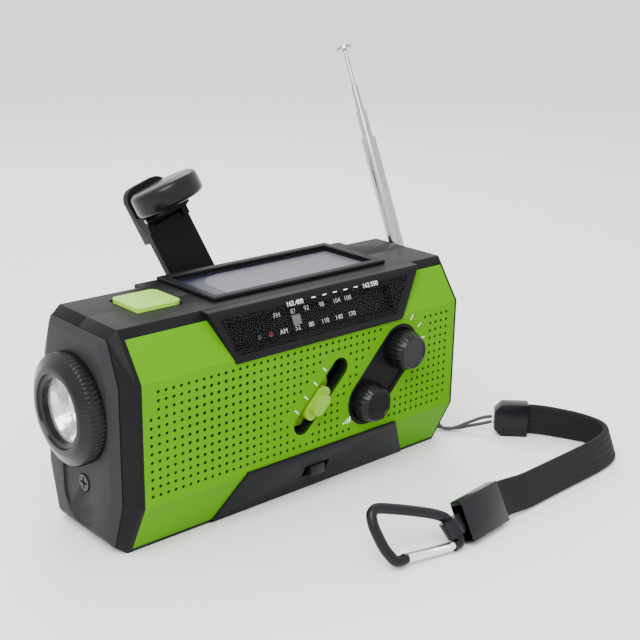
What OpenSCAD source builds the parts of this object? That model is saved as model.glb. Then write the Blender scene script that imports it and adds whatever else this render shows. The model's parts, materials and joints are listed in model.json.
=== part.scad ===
// Hand-crank emergency radio with torch, solar panel, telescopic antenna and wrist strap.
// Millimetres. X runs from the torch (-X) to the antenna end (+X), the dial faces -Y, +Z is up.
// The origin is on the surface it stands on, under the middle of the casing's depth.

/* [Casing] */
// Right end of the casing, measured from the middle of the sound-hole grid
case_right = 58.1; // [56:0.1:60]
// Seam between the casing and its torch end cap
seam_x = -60; // [-62:0.1:-59]
// Outer face of the end cap
cap_face_x = -61.8; // [-64:0.1:-61]
// Height of the casing
case_h = 61; // [60:0.5:63]
// Half of the casing's depth
case_d = 22.15; // [22:0.05:23]
// Wall thickness
wall = 2; // [1.6:0.1:2.2]
// Thickness of the green front panel
panel_t = 1; // [0.8:0.1:1.2]

/* [Torch] */
// Height of the torch axis
torch_z = 37.6; // [37:0.1:38]
// Radius of the grip ring round the torch
ring_r = 15; // [14:0.1:15.2]
// How far the ring stands out of the end cap
ring_len = 5.8; // [5:0.1:8]

/* [Controls] */
// Tuning knob axis, X
tuning_x = 33.8; // [33:0.1:35]
// Tuning knob axis, Z
tuning_z = 38.6; // [38:0.1:39]
// Volume knob axis, X
volume_x = 20.9; // [20:0.1:22]
// Volume knob axis, Z
volume_z = 25.2; // [25:0.1:26]
// Radius of a knob at its foot
knob_r = 6; // [5:0.1:6.4]
// Distance between neighbouring sound holes
hole_pitch = 2.334; // [2.2:0.01:2.4]

/* [Crank] */
// Crank axis, X
crank_x = 8.9; // [8:0.1:10]
// Crank axis, Z
crank_z = 30.5; // [30:0.1:31]
// How far the arm is turned to the left of upright
crank_turn = 19; // [0:1:30]
// How far the arm is lifted off the back
crank_lean = 18; // [10:1:30]
// Width of the arm
arm_w = 15; // [13:0.5:16]
// Radius of the folding knob
crank_knob_r = 10.6; // [9:0.1:10.8]

/* [Antenna] */
// Height of the antenna's pivot
antenna_z = 50; // [48:0.5:51]
// Lean of the antenna to the back
antenna_lean = 24.2; // [0:0.1:60]
// Length of its outer tube from the pivot
antenna_tube = 46; // [40:0.5:47]

/* [Hidden] */
$fn = 48;

// A hairline used where two cutting faces must not coincide
eps = 0.02;
// Free play of a shaft in its bore
play = 0.05;
// Depth at which the casing's bevel to the seam starts
bevel_x = -57.3;
// Green panel ends
panel_left = -56.1;
panel_right = 57.3;
panel_top = 58.6;
panel_bottom = 1.2;
// Heights of the folds between the upright and the slanting faces
fold_low = 15.1;
fold_high = 48.7;
// Half depths of the top and bottom faces
top_half = 13.75;
bottom_half = 14.85;

// Eight-sided section of the casing, inset by w all round, as [y, z] points
function section(w) = [
    [-(case_d - w), fold_high - 0.309 * w],
    [-(top_half - 0.528 * w), case_h - w],
    [top_half - 0.528 * w, case_h - w],
    [case_d - w, fold_high - 0.309 * w],
    [case_d - w, fold_low + 0.229 * w],
    [bottom_half - 0.627 * w, w],
    [-(bottom_half - 0.627 * w), w],
    [-(case_d - w), fold_low + 0.229 * w]
];
// Section at the seam, and at the face of the end cap
seam_section = [
    [-18, 47.6], [-13.4, 58.9], [13.4, 58.9], [18, 47.6],
    [18, 15.4], [13.6, 2], [-13.6, 2], [-18, 15.4]
];
face_section = [
    [-14.8, 46.6], [-12, 57.3], [12, 57.3], [14.8, 46.6],
    [14.8, 17.5], [11.9, 4.2], [-11.9, 4.2], [-14.8, 17.5]
];

// Outline in Y and Z, extruded along X from x0 to x1
module along_x(points, x0, x1) {
    translate([x0, 0, 0])
        rotate([90, 0, 90])
            linear_extrude(x1 - x0)
                polygon(points);
}

// Outline in X and Z, extruded along Y from y0 to y1
module along_y(points, y0, y1) {
    translate([0, y1, 0])
        rotate([90, 0, 0])
            linear_extrude(y1 - y0)
                polygon(points);
}

// Block between two corners
module block(low, high) {
    translate(low)
        cube(high - low);
}

// Round bar along X, from x0 to x1
module bar_x(r, x0, x1, y, z) {
    translate([x0, y, z])
        rotate([0, 90, 0])
            cylinder(r = r, h = x1 - x0);
}

// Round bar along Y, from y0 to y1
module bar_y(r, y0, y1, x, z) {
    translate([x, y1, z])
        rotate([90, 0, 0])
            cylinder(r = r, h = y1 - y0);
}

// Slab with round ends between two points of the XZ plane, from y0 to y1
module stadium_y(a, b, r, y0, y1) {
    run = b - a;
    translate([a[0], y1, a[1]])
        rotate([90, 0, 0])
            rotate(atan2(run[1], run[0]))
                linear_extrude(y1 - y0)
                    union() {
                        circle(r = r);
                        translate([norm(run), 0])
                            circle(r = r);
                        translate([0, -r])
                            square([norm(run), 2 * r]);
                    }
}

// ---------------------------------------------------------------- casing

// Whole outer form of the casing, without its hollow
module casing_form() {
    along_x(section(0), bevel_x - eps, case_right);
    hull() {
        along_x(section(0), bevel_x - 0.1, bevel_x);
        along_x(seam_section, seam_x, seam_x + 0.1);
    }
}

slot_low = [-3.9, 24.2];
slot_high = [9.8, 37.8];
slot_r = 3.1;
well_r = 7.4;
speaker_x = -13 * hole_pitch;
speaker_z = 31.9;
speaker_r = 16.5;
button_x = [-46, -31.5];
button_y = [-5.65, 8.35];
door_x = [-57, -8];
door_z = [14.6, 48.4];
frame_x = [-25, 38.5];
frame_y = [-10.1, 16.9];

// Rear block that backs the solar panel and stands out of the upper back slope
rear_profile = [[-2, 59], [20.3, 47.6], [22.1, 48.6], [17.9, 60.4], [17.3, 61], [-2, 61]];
rear_outline = [[-27, 47.4], [39, 47.4], [45, 61], [-32, 61]];
torch_room_r = 10.8;
cap_screw = [-1.4, 16.6];

module front_shell() {
    color([0.11, 0.11, 0.12])
        difference() {
            intersection() {
                casing_form();
                block([-70, -30, -1], [70, 0, 70]);
            }
            // hollow, closed by end walls
            along_x(section(wall + panel_t), seam_x + wall, case_right - wall);
            // bed of the green panel
            difference() {
                block([panel_left, -30, panel_bottom], [panel_right, eps - 8, panel_top]);
                along_x(section(panel_t), -70, 70);
            }
            // beds of the dial housing and the lower trim, and the space behind the dial window
            dial_body();
            trim_body();
            block([-28, -30, 49.8], [33, -12, 58]);
            // sound opening, controls
            bar_y(speaker_r - 1.5, -30, 0, speaker_x, speaker_z);
            stadium_y(slot_low, slot_high, slot_r - 0.4, -30, 0);
            bar_y(2.2, -30, 0, tuning_x, tuning_z);
            bar_y(2.2, -30, 0, volume_x, volume_z);
            block([-1.5, -30, 5.5], [10, -10, 9.5]);
            // half of the top opening for the button and the solar cell
            block([button_x[0], button_y[0], 50], [button_x[1], 1, 70]);
            block([frame_x[0] + 2.6, frame_y[0] + 2.6, 50], [frame_x[1] - 2.6, 1, 70]);
            // room behind the torch, and the end cap's screw
            bar_x(torch_room_r, -70, -50, 0, torch_z);
            bar_x(1.2 + play, -70, -50, cap_screw[0], cap_screw[1]);
        }
}

module back_shell() {
    color([0.11, 0.11, 0.12])
        difference() {
            union() {
                intersection() {
                    casing_form();
                    block([-70, 0, -1], [70, 30, 70]);
                }
                intersection() {
                    along_x(rear_profile, -34, 47);
                    along_y(rear_outline, 0, 30);
                }
            }
            along_x(section(wall), seam_x + wall, case_right - wall);
            // crank bearing
            bar_y(4 + play, 0, 30, crank_x, crank_z);
            // battery opening with a ledge for the door
            block([door_x[0], case_d - 1.7, door_z[0]], [door_x[1], 30, door_z[1]]);
            block([door_x[0] + 1.5, 10, door_z[0] + 1.5], [door_x[1] - 1.5, 30, door_z[1] - 1.5]);
            block([button_x[0], -1, 50], [button_x[1], button_y[1], 70]);
            block([frame_x[0] + 2.6, -1, 50], [frame_x[1] - 2.6, frame_y[1] - 2.6, 70]);
            bar_x(torch_room_r, -70, -50, 0, torch_z);
            // sockets in the back
            block([37.2, 13, 30.2], [55.4, 30, 36.6]);
            // case screws
            for (p = screw_places) bar_y(1.3, 0, 30, p[0], p[1]);
            for (p = screw_places) bar_y(2.6, case_d - 1.2, 30, p[0], p[1]);
            // antenna bearing
            bar_x(2.5 + play, 50, 70, antenna_y, antenna_z);
        }
}

antenna_x = 62.2;
antenna_y = 4.2;
screw_places = [[-1, 18.5], [-1, 45], [53, 20.5], [53, 44]];

module end_cap() {
    color([0.24, 0.24, 0.25])
        difference() {
            hull() {
                along_x(seam_section, seam_x - 0.3, seam_x - 0.2);
                along_x(face_section, cap_face_x, cap_face_x + 0.1);
            }
            // torch opening
            bar_x(11.5, -70, -50, 0, torch_z);
            // shallow recess below the ring
            block([-70, -8.5, 12.5], [cap_face_x + 0.6, 8.5, torch_z]);
            bar_x(8.5, -70, cap_face_x + 0.6, 0, 12.5);
            // screw counterbore
            bar_x(2.6, -70, cap_face_x + 1, cap_screw[0], cap_screw[1]);
            bar_x(1.2 + play, -70, -50, cap_screw[0], cap_screw[1]);
        }
}

module end_cap_screw() {
    color([0.3, 0.3, 0.31])
        difference() {
            union() {
                bar_x(2.3, cap_face_x + 0.3, cap_face_x + 1, cap_screw[0], cap_screw[1]);
                bar_x(1.2, cap_face_x + 1, -57.6, cap_screw[0], cap_screw[1]);
            }
            translate([cap_face_x, cap_screw[0], cap_screw[1]]) {
                block([-1, -1.6, -0.3], [0.7, 1.6, 0.3]);
                block([-1, -0.3, -1.6], [0.7, 0.3, 1.6]);
            }
        }
}

module case_screws() {
    color([0.3, 0.3, 0.31])
        for (p = screw_places)
            difference() {
                union() {
                    bar_y(2.4, case_d - 1.2, case_d - 0.2, p[0], p[1]);
                    bar_y(1.2, 17, case_d - 1.2, p[0], p[1]);
                }
                block([p[0] - 1.6, case_d - 0.7, p[1] - 0.3], [p[0] + 1.6, 30, p[1] + 0.3]);
                block([p[0] - 0.3, case_d - 0.7, p[1] - 1.6], [p[0] + 0.3, 30, p[1] + 1.6]);
            }
}

// Front outlines of the dial housing and of the lower trim
dial_outline = [[-27.2, 47.6], [33.6, 47.6], [45.5, 61], [-32.3, 61]];
trim_outline = [[-31.6, -1], [44, -1], [32.6, 15.6], [-23.6, 15.6]];
dial_profile = [[-22.75, 47.4], [-22.75, 48.6], [-17.6, 60.5], [-17, 61], [-13.6, 61], [-13.6, 58.6]];
trim_profile = [[-22.75, 15.8], [-22.75, 15], [-15.6, 0.2], [-14, 0.2], [-14, 2], [-21.1, 15.8]];

module dial_body() {
    intersection() {
        along_x(dial_profile, -35, 48);
        along_y(dial_outline, -30, 0);
    }
}

module trim_body() {
    intersection() {
        along_x(trim_profile, -34, 47);
        along_y(trim_outline, -30, 0);
    }
}

module front_panel() {
    color([0.46, 0.67, 0.15])
        difference() {
            intersection() {
                difference() {
                    along_x(section(0), panel_left, panel_right);
                    along_x(section(panel_t), panel_left - 1, panel_right + 1);
                }
                block([-70, -30, panel_bottom], [70, -8, panel_top]);
            }
            along_y(dial_outline, -30, 0);
            along_y(trim_outline, -30, 0);
            stadium_y(slot_low, slot_high, slot_r, -30, 0);
            stadium_y([volume_x, volume_z], [tuning_x, tuning_z], well_r, -30, 0);
            // sound holes that fall over the speaker
            for (i = [-6:6])
                for (j = [-6:6])
                    if (i * i + j * j < 37)
                        bar_y(0.5, -30, 0, speaker_x + i * hole_pitch, speaker_z + j * hole_pitch);
        }
}

module dial_housing() {
    color([0.1, 0.1, 0.11])
        difference() {
            dial_body();
            // opening over the dial plate
            block([-27, -30, 50.6], [32, -12, 57.6]);
            // seat of the window
            intersection() {
                along_x([[-30, 49.6], [-21.9, 49.6], [-17.9, 58.9], [-30, 58.9]], -35, 48);
                along_y(window_outline, -30, 0);
            }
        }
}

window_outline = [[-25.6, 49.6], [31.5, 49.6], [40, 59], [-29.4, 59]];

module dial_window() {
    color([0.05, 0.05, 0.06, 0.4])
        intersection() {
            along_x([[-22.45, 49.8], [-21.87, 49.8], [-18, 58.8], [-18.6, 58.8]], -35, 48);
            along_y([[-25.4, 49.8], [31.2, 49.8], [39.6, 58.8], [-29.1, 58.8]], -30, 0);
        }
}

module dial_plate() {
    color([0.06, 0.06, 0.07])
        along_x([[-19.9, 50.8], [-19.3, 50.8], [-16.3, 57.4], [-16.9, 57.4]], -26.8, 31.8);
}

module dial_pointer() {
    color([0.45, 0.45, 0.47])
        along_x([[-20.1, 53.1], [-19.4, 53.1], [-18.4, 55.5], [-19.1, 55.5]], -5.3, -2.6);
}

module indicator_lights() {
    color([0.75, 0.08, 0.06])
        for (x = [-17.5, -13.6])
            bar_y(0.7, -20.1, -19.6, x, 52.2);
}

module lower_trim() {
    color([0.1, 0.1, 0.11])
        difference() {
            trim_body();
            block([-0.6, -30, 5.6], [8.6, -10, 9.4]);
        }
}

module battery_selector() {
    color([0.08, 0.08, 0.09])
        union() {
            block([1.4, -20.2, 5.9], [6.6, -12.2, 9.1]);
            block([-3, -13.4, 4.6], [11, -12.2, 10.4]);
        }
}

module knob_well() {
    color([0.09, 0.09, 0.1])
        difference() {
            stadium_y([volume_x, volume_z], [tuning_x, tuning_z], well_r - 0.1, -case_d + 0.1, -case_d + panel_t);
            stadium_y([volume_x, volume_z], [tuning_x, tuning_z], well_r - 1, -30, -case_d + 0.6);
            bar_y(2.2, -30, 0, volume_x, volume_z);
            bar_y(2.2, -30, 0, tuning_x, tuning_z);
        }
}

// Turned knob along -Y with a shaft behind it
module control_knob(x, z, height) {
    foot = -case_d + 0.3;
    translate([x, foot, z])
        rotate([90, 0, 0])
            rotate_extrude($fn = 64)
                polygon([
                    [0, 0], [knob_r, 0], [knob_r, height * 0.55], [knob_r - 0.4, height * 0.75],
                    [knob_r - 1.1, height + 0.2], [knob_r - 1.5, height + 0.5], [0, height + 0.5]
                ]);
    bar_y(1.9, foot, -16.2, x, z);
}

module tuning_knob() {
    color([0.07, 0.07, 0.08])
        control_knob(tuning_x, tuning_z, 6);
}

module volume_knob() {
    color([0.07, 0.07, 0.08])
        control_knob(volume_x, volume_z, 5);
}

module band_slider() {
    mid = slot_low + (slot_high - slot_low) * 0.38;
    step = (slot_high - slot_low) / norm(slot_high - slot_low);
    color([0.5, 0.72, 0.17])
        union() {
            stadium_y(mid - 3.2 * step, mid + 3.2 * step, 2.2, -case_d - 0.6, -17.4);
            stadium_y(mid - 1.4 * step, mid + 1.4 * step, 2, -case_d - 2.4, -case_d);
            // foot that the switch on the board carries
            stadium_y(mid - 5.2 * step, mid + 5.2 * step, 3.4, -18.4, -17.4);
        }
}

// ---------------------------------------------------------------- top

module solar_frame() {
    color([0.1, 0.1, 0.11])
        difference() {
            block([frame_x[0], frame_y[0], case_h], [frame_x[1], frame_y[1], case_h + 1.1]);
            block([frame_x[0] + 2.6, frame_y[0] + 2.6, 50], [frame_x[1] - 2.6, frame_y[1] - 2.6, 70]);
        }
}

module solar_cell() {
    color([0.6, 0.6, 0.66])
        block([frame_x[0] + 2.7, frame_y[0] + 2.7, 57.9], [frame_x[1] - 2.7, frame_y[1] - 2.7, 60.4]);
}

module power_button() {
    inset = 0.3;
    color([0.72, 0.88, 0.42])
        difference() {
            union() {
                translate([button_x[0] + inset + 2, button_y[0] + inset + 2, 57.4])
                    linear_extrude(case_h + 0.9 - 57.4)
                        union() {
                            square([button_x[1] - button_x[0] - 2 * inset - 4,
                                    button_y[1] - button_y[0] - 2 * inset - 4]);
                            for (u = [0, button_x[1] - button_x[0] - 2 * inset - 4])
                                for (v = [0, button_y[1] - button_y[0] - 2 * inset - 4])
                                    translate([u, v])
                                        circle(r = 2);
                            translate([-2, 0])
                                square([button_x[1] - button_x[0] - 2 * inset,
                                        button_y[1] - button_y[0] - 2 * inset - 4]);
                            translate([0, -2])
                                square([button_x[1] - button_x[0] - 2 * inset - 4,
                                        button_y[1] - button_y[0] - 2 * inset]);
                        }
                block([-47.2, -7, 56.8], [-30.3, 9.6, 57.9]);
            }
            block([-44, -4, 50], [-33.5, 6.5, 60]);
        }
}

// ---------------------------------------------------------------- torch

// Turned profile round the torch axis: points are [radius, distance out of the end cap face]
module torch_turn(points) {
    translate([cap_face_x, 0, torch_z])
        rotate([0, -90, 0])
            rotate_extrude($fn = 96)
                polygon(points);
}

module torch_ring() {
    color([0.08, 0.08, 0.09])
        torch_turn([
            [11.3, -1], [11.3, 0.1], [ring_r, 0.1], [ring_r, ring_len - 2.4], [ring_r - 0.5, ring_len - 1.6],
            [ring_r - 3.2, ring_len - 0.2], [ring_r - 3.6, ring_len], [ring_r - 5, ring_len],
            [ring_r - 5.3, ring_len - 0.6], [8.7, ring_len - 0.9], [8.7, ring_len - 2.6], [10.2, ring_len - 2.6],
            [10.2, -1]
        ]);
}

module torch_lens() {
    color([0.85, 0.9, 0.92, 0.3])
        torch_turn([[0, ring_len - 3.7], [10.1, ring_len - 3.7], [10.1, ring_len - 2.7], [0, ring_len - 2.7]]);
}

module torch_reflector() {
    color([0.85, 0.85, 0.86])
        torch_turn([
            [2.6, -7], [3.4, -7], [6, -5.6], [8.4, -2.2], [10.1, ring_len - 4.6], [10.1, ring_len - 3.8],
            [9.5, ring_len - 3.8], [7.6, -2.2], [5.4, -4.9], [2.6, -6.2]
        ]);
}

module torch_led() {
    color([0.95, 0.93, 0.75])
        torch_turn([[0, -8.4], [3.6, -8.4], [3.6, -7.2], [2.4, -7.2], [2.4, -4.6], [1.8, -3.4], [0, -2.8]]);
}

// ---------------------------------------------------------------- crank

hub_y = 27.4;
hinge_r = 2.9;
carrier_z = 47.6;
knob_y = -9;

// Places a piece drawn in the crank's own frame: arm along +Z, front of the arm to -Y
module on_hub() {
    translate([crank_x, hub_y, crank_z])
        rotate([0, -crank_turn, 0])
            children();
}

module on_arm() {
    on_hub()
        rotate([-crank_lean, 0, 0])
            children();
}

module crank_hub() {
    color([0.1, 0.1, 0.11])
        difference() {
            union() {
                bar_y(11, case_d + 0.35, 24.3, crank_x, crank_z);
                bar_y(4, 11.2, case_d + 0.4, crank_x, crank_z);
                on_hub() {
                    for (s = [-1, 1]) {
                        bar_x(hinge_r, s * 6.75 - 1.25, s * 6.75 + 1.25, 0, 0);
                        block([s * 6.75 - 1.25, -3.6, -hinge_r], [s * 6.75 + 1.25, 0, hinge_r]);
                    }
                }
            }
            on_hub()
                bar_x(1, -9, 9, 0, 0);
        }
}

module arm_hinge_pin() {
    color([0.75, 0.75, 0.77])
        on_hub()
            bar_x(1, -7.9, 7.9, 0, 0);
}

module crank_arm() {
    color([0.1, 0.1, 0.11])
        on_arm()
            difference() {
                union() {
                    bar_x(hinge_r, -5.3, 5.3, 0, 0);
                    block([-5.3, -1.5, 0], [5.3, 1.5, 6]);
                    block([-arm_w / 2, -1.5, 3.8], [arm_w / 2, 1.5, carrier_z - 2.4]);
                    block([-arm_w / 2, -1.5, carrier_z - 7], [arm_w / 2, 5, carrier_z - 2.4]);
                    block([-arm_w / 2, 2, carrier_z - 3], [arm_w / 2, 5, 54]);
                    block([-arm_w / 2 + 4, 2, 53], [arm_w / 2 - 4, 5, 58]);
                    for (s = [-1, 1]) {
                        translate([s * (arm_w / 2 - 4), 5, 54])
                            rotate([90, 0, 0])
                                cylinder(r = 4, h = 3);
                        bar_x(1.5, s * 6.4 - 1.1, s * 6.4 + 1.1, -2.6, carrier_z);
                        block([s * 6.4 - 1.1, -2.6, carrier_z - 4], [s * 6.4 + 1.1, 3, carrier_z + 1.5]);
                    }
                }
                bar_x(1 + play, -9, 9, 0, 0);
                bar_x(0.7, -9, 9, -2.6, carrier_z);
            }
}

module carrier_pin() {
    color([0.75, 0.75, 0.77])
        on_arm()
            bar_x(0.7, -7.4, 7.4, -2.6, carrier_z);
}

module knob_carrier() {
    color([0.12, 0.12, 0.13])
        on_arm()
            difference() {
                union() {
                    bar_x(1.5, -5, 5, -2.6, carrier_z);
                    block([-5, -9, carrier_z + 0.3], [5, -2.6, carrier_z + 1.5]);
                    translate([0, knob_y, carrier_z + 0.3])
                        cylinder(r = 5, h = 1.2);
                    translate([0, knob_y, carrier_z + 0.4])
                        cylinder(r = 1.5, h = 6.2);
                }
                bar_x(0.7 + play, -9, 9, -2.6, carrier_z);
            }
}

module crank_knob() {
    color([0.1, 0.1, 0.11])
        on_arm()
            translate([0, knob_y, carrier_z + 1.9])
                rotate_extrude($fn = 72)
                    polygon([
                        [1.5 + play, 0], [crank_knob_r - 1, 0], [crank_knob_r - 0.3, 0.4], [crank_knob_r, 1.1],
                        [crank_knob_r, 5.4], [crank_knob_r - 0.4, 6.3], [crank_knob_r - 1.4, 6.9],
                        [0, 6.9], [0, 5.2], [1.5 + play, 5.2]
                    ]);
}

// Spur gear round Y with straight-sided teeth and one tooth centred on the angle "aim"
module spur(teeth, module_size, bore, y0, y1, x, z, aim) {
    pitch_r = teeth * module_size / 2;
    root_r = pitch_r - 1.2 * module_size;
    tip_r = pitch_r + 0.85 * module_size;
    root_half = 360 / teeth * 0.27;
    tip_half = 360 / teeth * 0.1;
    difference() {
        translate([x, y1, z])
            rotate([90, 0, 0])
                linear_extrude(y1 - y0)
                    polygon([
                        for (t = [0:teeth - 1])
                            for (corner = [[root_r, -root_half], [tip_r, -tip_half],
                                           [tip_r, tip_half], [root_r, root_half]])
                                let (a = aim + t * 360 / teeth + corner[1])
                                    corner[0] * [cos(a), sin(a)]
                    ]);
        bar_y(bore, y0 - 1, y1 + 1, x, z);
    }
}

gear_module = 0.75;
gear_teeth = 36;
pinion_teeth = 10;
motor_x = crank_x + (gear_teeth + pinion_teeth) * gear_module / 2;

module drive_gear() {
    color([0.92, 0.9, 0.84])
        spur(gear_teeth, gear_module, 4, 14, 17, crank_x, crank_z, 0);
}

module generator_pinion() {
    color([0.83, 0.68, 0.3])
        union() {
            spur(pinion_teeth, gear_module, 1, 13.6, 17.4, motor_x, crank_z, 180 + 180 / pinion_teeth);
            bar_y(1, 11.6, 17.8, motor_x, crank_z);
        }
}

module generator() {
    color([0.62, 0.63, 0.65])
        difference() {
            union() {
                bar_y(8.5, -2, 11.4, motor_x, crank_z);
                bar_y(3, 11.2, 12.6, motor_x, crank_z);
            }
            bar_y(1 + play, 11.5, 13, motor_x, crank_z);
        }
}

// ---------------------------------------------------------------- antenna

module on_antenna() {
    translate([antenna_x, antenna_y, antenna_z])
        rotate([-antenna_lean, 0, 0])
            children();
}

module antenna_mount() {
    color([0.12, 0.12, 0.13])
        difference() {
            union() {
                bar_x(2.5, 53, 58.2, antenna_y, antenna_z);
                bar_x(4.4, 53, 55.8, antenna_y, antenna_z);
            }
            bar_x(1.2 + play, 50, 70, antenna_y, antenna_z);
        }
}

module antenna_swivel() {
    color([0.82, 0.83, 0.84])
        union() {
            bar_x(1.2, 54, 61, antenna_y, antenna_z);
            bar_x(3.4, 58.6, 64.8, antenna_y, antenna_z);
            on_antenna()
                cylinder(r = 2.1, h = 5.2);
        }
}

// One tube of the antenna, from the height low to high, with an inward rim at its top
module antenna_stage(outer, inner, neck, low, high) {
    on_antenna()
        rotate_extrude($fn = 32)
            polygon([[inner, low], [outer, low], [outer, high], [neck, high], [neck, high - 1.2], [inner, high - 1.2]]);
}

module antenna_tube_1() {
    color([0.85, 0.86, 0.87])
        antenna_stage(2.4, 2.1, 1.75, 4.2, antenna_tube);
}

module antenna_tube_2() {
    color([0.85, 0.86, 0.87])
        union() {
            antenna_stage(1.7, 1.4, 1.2, 14, antenna_tube + 9);
            antenna_stage(2.05, 1.7, 1.7, 14, 16);
        }
}

module antenna_tube_3() {
    color([0.85, 0.86, 0.87])
        union() {
            antenna_stage(1.15, 0.85, 0.72, 23, antenna_tube + 17.2);
            antenna_stage(1.35, 1.15, 1.15, 23, 25);
        }
}

module antenna_rod() {
    color([0.85, 0.86, 0.87])
        on_antenna() {
            translate([0, 0, 35.6])
                cylinder(r = 0.67, h = antenna_tube + 30 - 35.6);
            translate([0, 0, 35.6])
                cylinder(r = 0.8, h = 2);
            translate([0, 0, antenna_tube + 29.6])
                cylinder(r = 2.5, h = 1.1);
        }
}

// ---------------------------------------------------------------- inside

module circuit_board() {
    color([0.1, 0.38, 0.2])
        union() {
            difference() {
                block([-9, -9, 12], [51, -7.4, 50]);
                bar_y(1.3, -12, 0, 49, 15);
                bar_y(1.3, -12, 0, -6, 47);
            }
            // chips and the switch body under the band slider
            block([36, -7.4, 18], [44, -6, 26]);
            block([0, -7.4, 38], [10, -6, 44]);
            stadium_y(slot_low, slot_high, 2.6, -17.1, -9);
        }
}

module speaker() {
    color([0.2, 0.2, 0.21])
        translate([speaker_x, -18.7, speaker_z])
            rotate([-90, 0, 0])
                rotate_extrude($fn = 64)
                    polygon([
                        [0, 3.2], [3.5, 2.6], [5, 4], [13.6, 0.8], [14.6, 0.2], [speaker_r, 0.2], [speaker_r, 1.6],
                        [14.8, 1.8], [10, 7], [10, 11.5], [0, 11.5]
                    ]);
}

module tuning_capacitor() {
    color([0.86, 0.85, 0.8])
        difference() {
            block([tuning_x - 8, -15.8, tuning_z - 8], [tuning_x + 8, -9.1, tuning_z + 8]);
            bar_y(2, -20, -12, tuning_x, tuning_z);
        }
}

module volume_pot() {
    color([0.7, 0.7, 0.71])
        difference() {
            bar_y(6.6, -15.8, -9.1, volume_x, volume_z);
            bar_y(2, -20, -12, volume_x, volume_z);
        }
}

module ferrite_antenna() {
    color([0.3, 0.28, 0.27])
        union() {
            bar_x(4, -8, 50, -2, 54.2 - 1.6);
            bar_x(4.9, 6, 30, -2, 54.2 - 1.6);
        }
}

module lithium_cell() {
    color([0.15, 0.35, 0.65])
        translate([43.4, 3.4, 19.5])
            union() {
                cylinder(r = 8.3, h = 25.5);
                cylinder(r = 3, h = 26.4);
            }
}

aaa_z = [20.6, 31.5, 42.4];

module aaa_cells() {
    color([0.78, 0.62, 0.2])
        for (z = aaa_z)
            union() {
                bar_x(5.2, -54.6, -11.6, 14.2, z);
                bar_x(1.9, -11.7, -10.6, 14.2, z);
            }
}

module battery_contacts() {
    color([0.8, 0.81, 0.82])
        union() {
            block([-10.5, 10, 16], [-10.1, 19, 47]);
            block([-55.2, 10, 16], [-54.8, 19, 47]);
        }
}

module battery_door() {
    gap = 0.25;
    half_t = 0.8;
    hinge_z = door_z[0] + gap + half_t;
    color([0.12, 0.12, 0.13])
        difference() {
            union() {
                block([door_x[0] + gap, case_d - 2 * half_t, hinge_z], [door_x[1] - gap, case_d, door_z[1] - gap]);
                bar_x(half_t, door_x[0] + gap, door_x[1] - gap, case_d - half_t, hinge_z);
            }
            // grip lines
            for (k = [0:3])
                block([-38, case_d - 0.4, 42 + 1.5 * k], [-27, 30, 42.7 + 1.5 * k]);
        }
}

module usb_sockets() {
    color([0.75, 0.76, 0.77])
        for (s = [[37.4, 48.6, 30.4, 36.4], [50, 55.2, 31.5, 35.3]])
            difference() {
                block([s[0], 14, s[2]], [s[1], 21.6, s[3]]);
                block([s[0] + 0.4, 14.6, s[2] + 0.4], [s[1] - 0.4, 30, s[3] - 0.4]);
            }
}

module port_flap() {
    color([0.1, 0.1, 0.11])
        union() {
            block([36.3, case_d + 0.05, 28.6], [56.4, case_d + 1.3, 38]);
            bar_x(0.65, 36.3, 56.4, case_d + 0.7, 28.6);
        }
}

// ---------------------------------------------------------------- strap

module strap_anchor() {
    color([0.12, 0.12, 0.13])
        difference() {
            block([case_right, -13.5, 5], [case_right + 3.6, -6.5, 10]);
            block([case_right + 0.9, -14, 6.4], [case_right + 2.5, -6, 8.6]);
        }
}

// Skin over rings of "sides" points each, in the order of the sweep
module skin(rings, sides) {
    last = len(rings) / sides - 1;
    walls = [
        for (i = [0:last - 1])
            for (k = [0:sides - 1])
                let (a = i * sides + k, b = i * sides + (k + 1) % sides)
                    each [[a, a + sides, b + sides], [a, b + sides, b]]
    ];
    ends = [[for (k = [0:sides - 1]) k], [for (k = [0:sides - 1]) len(rings) - 1 - k]];
    polyhedron(rings, concat(walls, ends));
}

function unit(v) = v / norm(v);
function heading(p, i) = unit(p[min(i + 1, len(p) - 1)] - p[max(i - 1, 0)]);
function across(d) = unit(cross(d, [0, 0, 1]));

// A round tube with "sides" sides swept along a list of points
module tube(p, r, sides) {
    skin([
        for (i = [0:len(p) - 1])
            let (d = heading(p, i), u = across(d), v = cross(u, d))
                for (k = [0:sides - 1])
                    p[i] + r * (cos(360 * k / sides) * u + sin(360 * k / sides) * v)
    ], sides);
}

// Both strands of the thin cord, from the upper clip round the anchor and back
cord_r = 0.55;
cord_route = [
    [76.5, -24.2, 6], [74.5, -21.7, 5.2], [71.5, -19, 3.6], [68.5, -17, 2.2], [65.5, -15.4, 1.6],
    [63, -14.8, 2.6], [61.2, -14.6, 4.6], [60, -14, 7], [59.8, -12, 7.4], [59.8, -9, 7.5],
    [59.8, -6.4, 7.4], [60.4, -5.2, 6.4], [61.8, -6.6, 4.2], [63.6, -9, 2], [66, -12, 0.8],
    [69, -15.4, 0.9], [72, -18.6, 2], [74.6, -21.9, 3.2], [76.5, -24.2, 4.2]
];

module strap_cord() {
    color([0.08, 0.08, 0.09])
        tube(cord_route, cord_r, 8);
}

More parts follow.
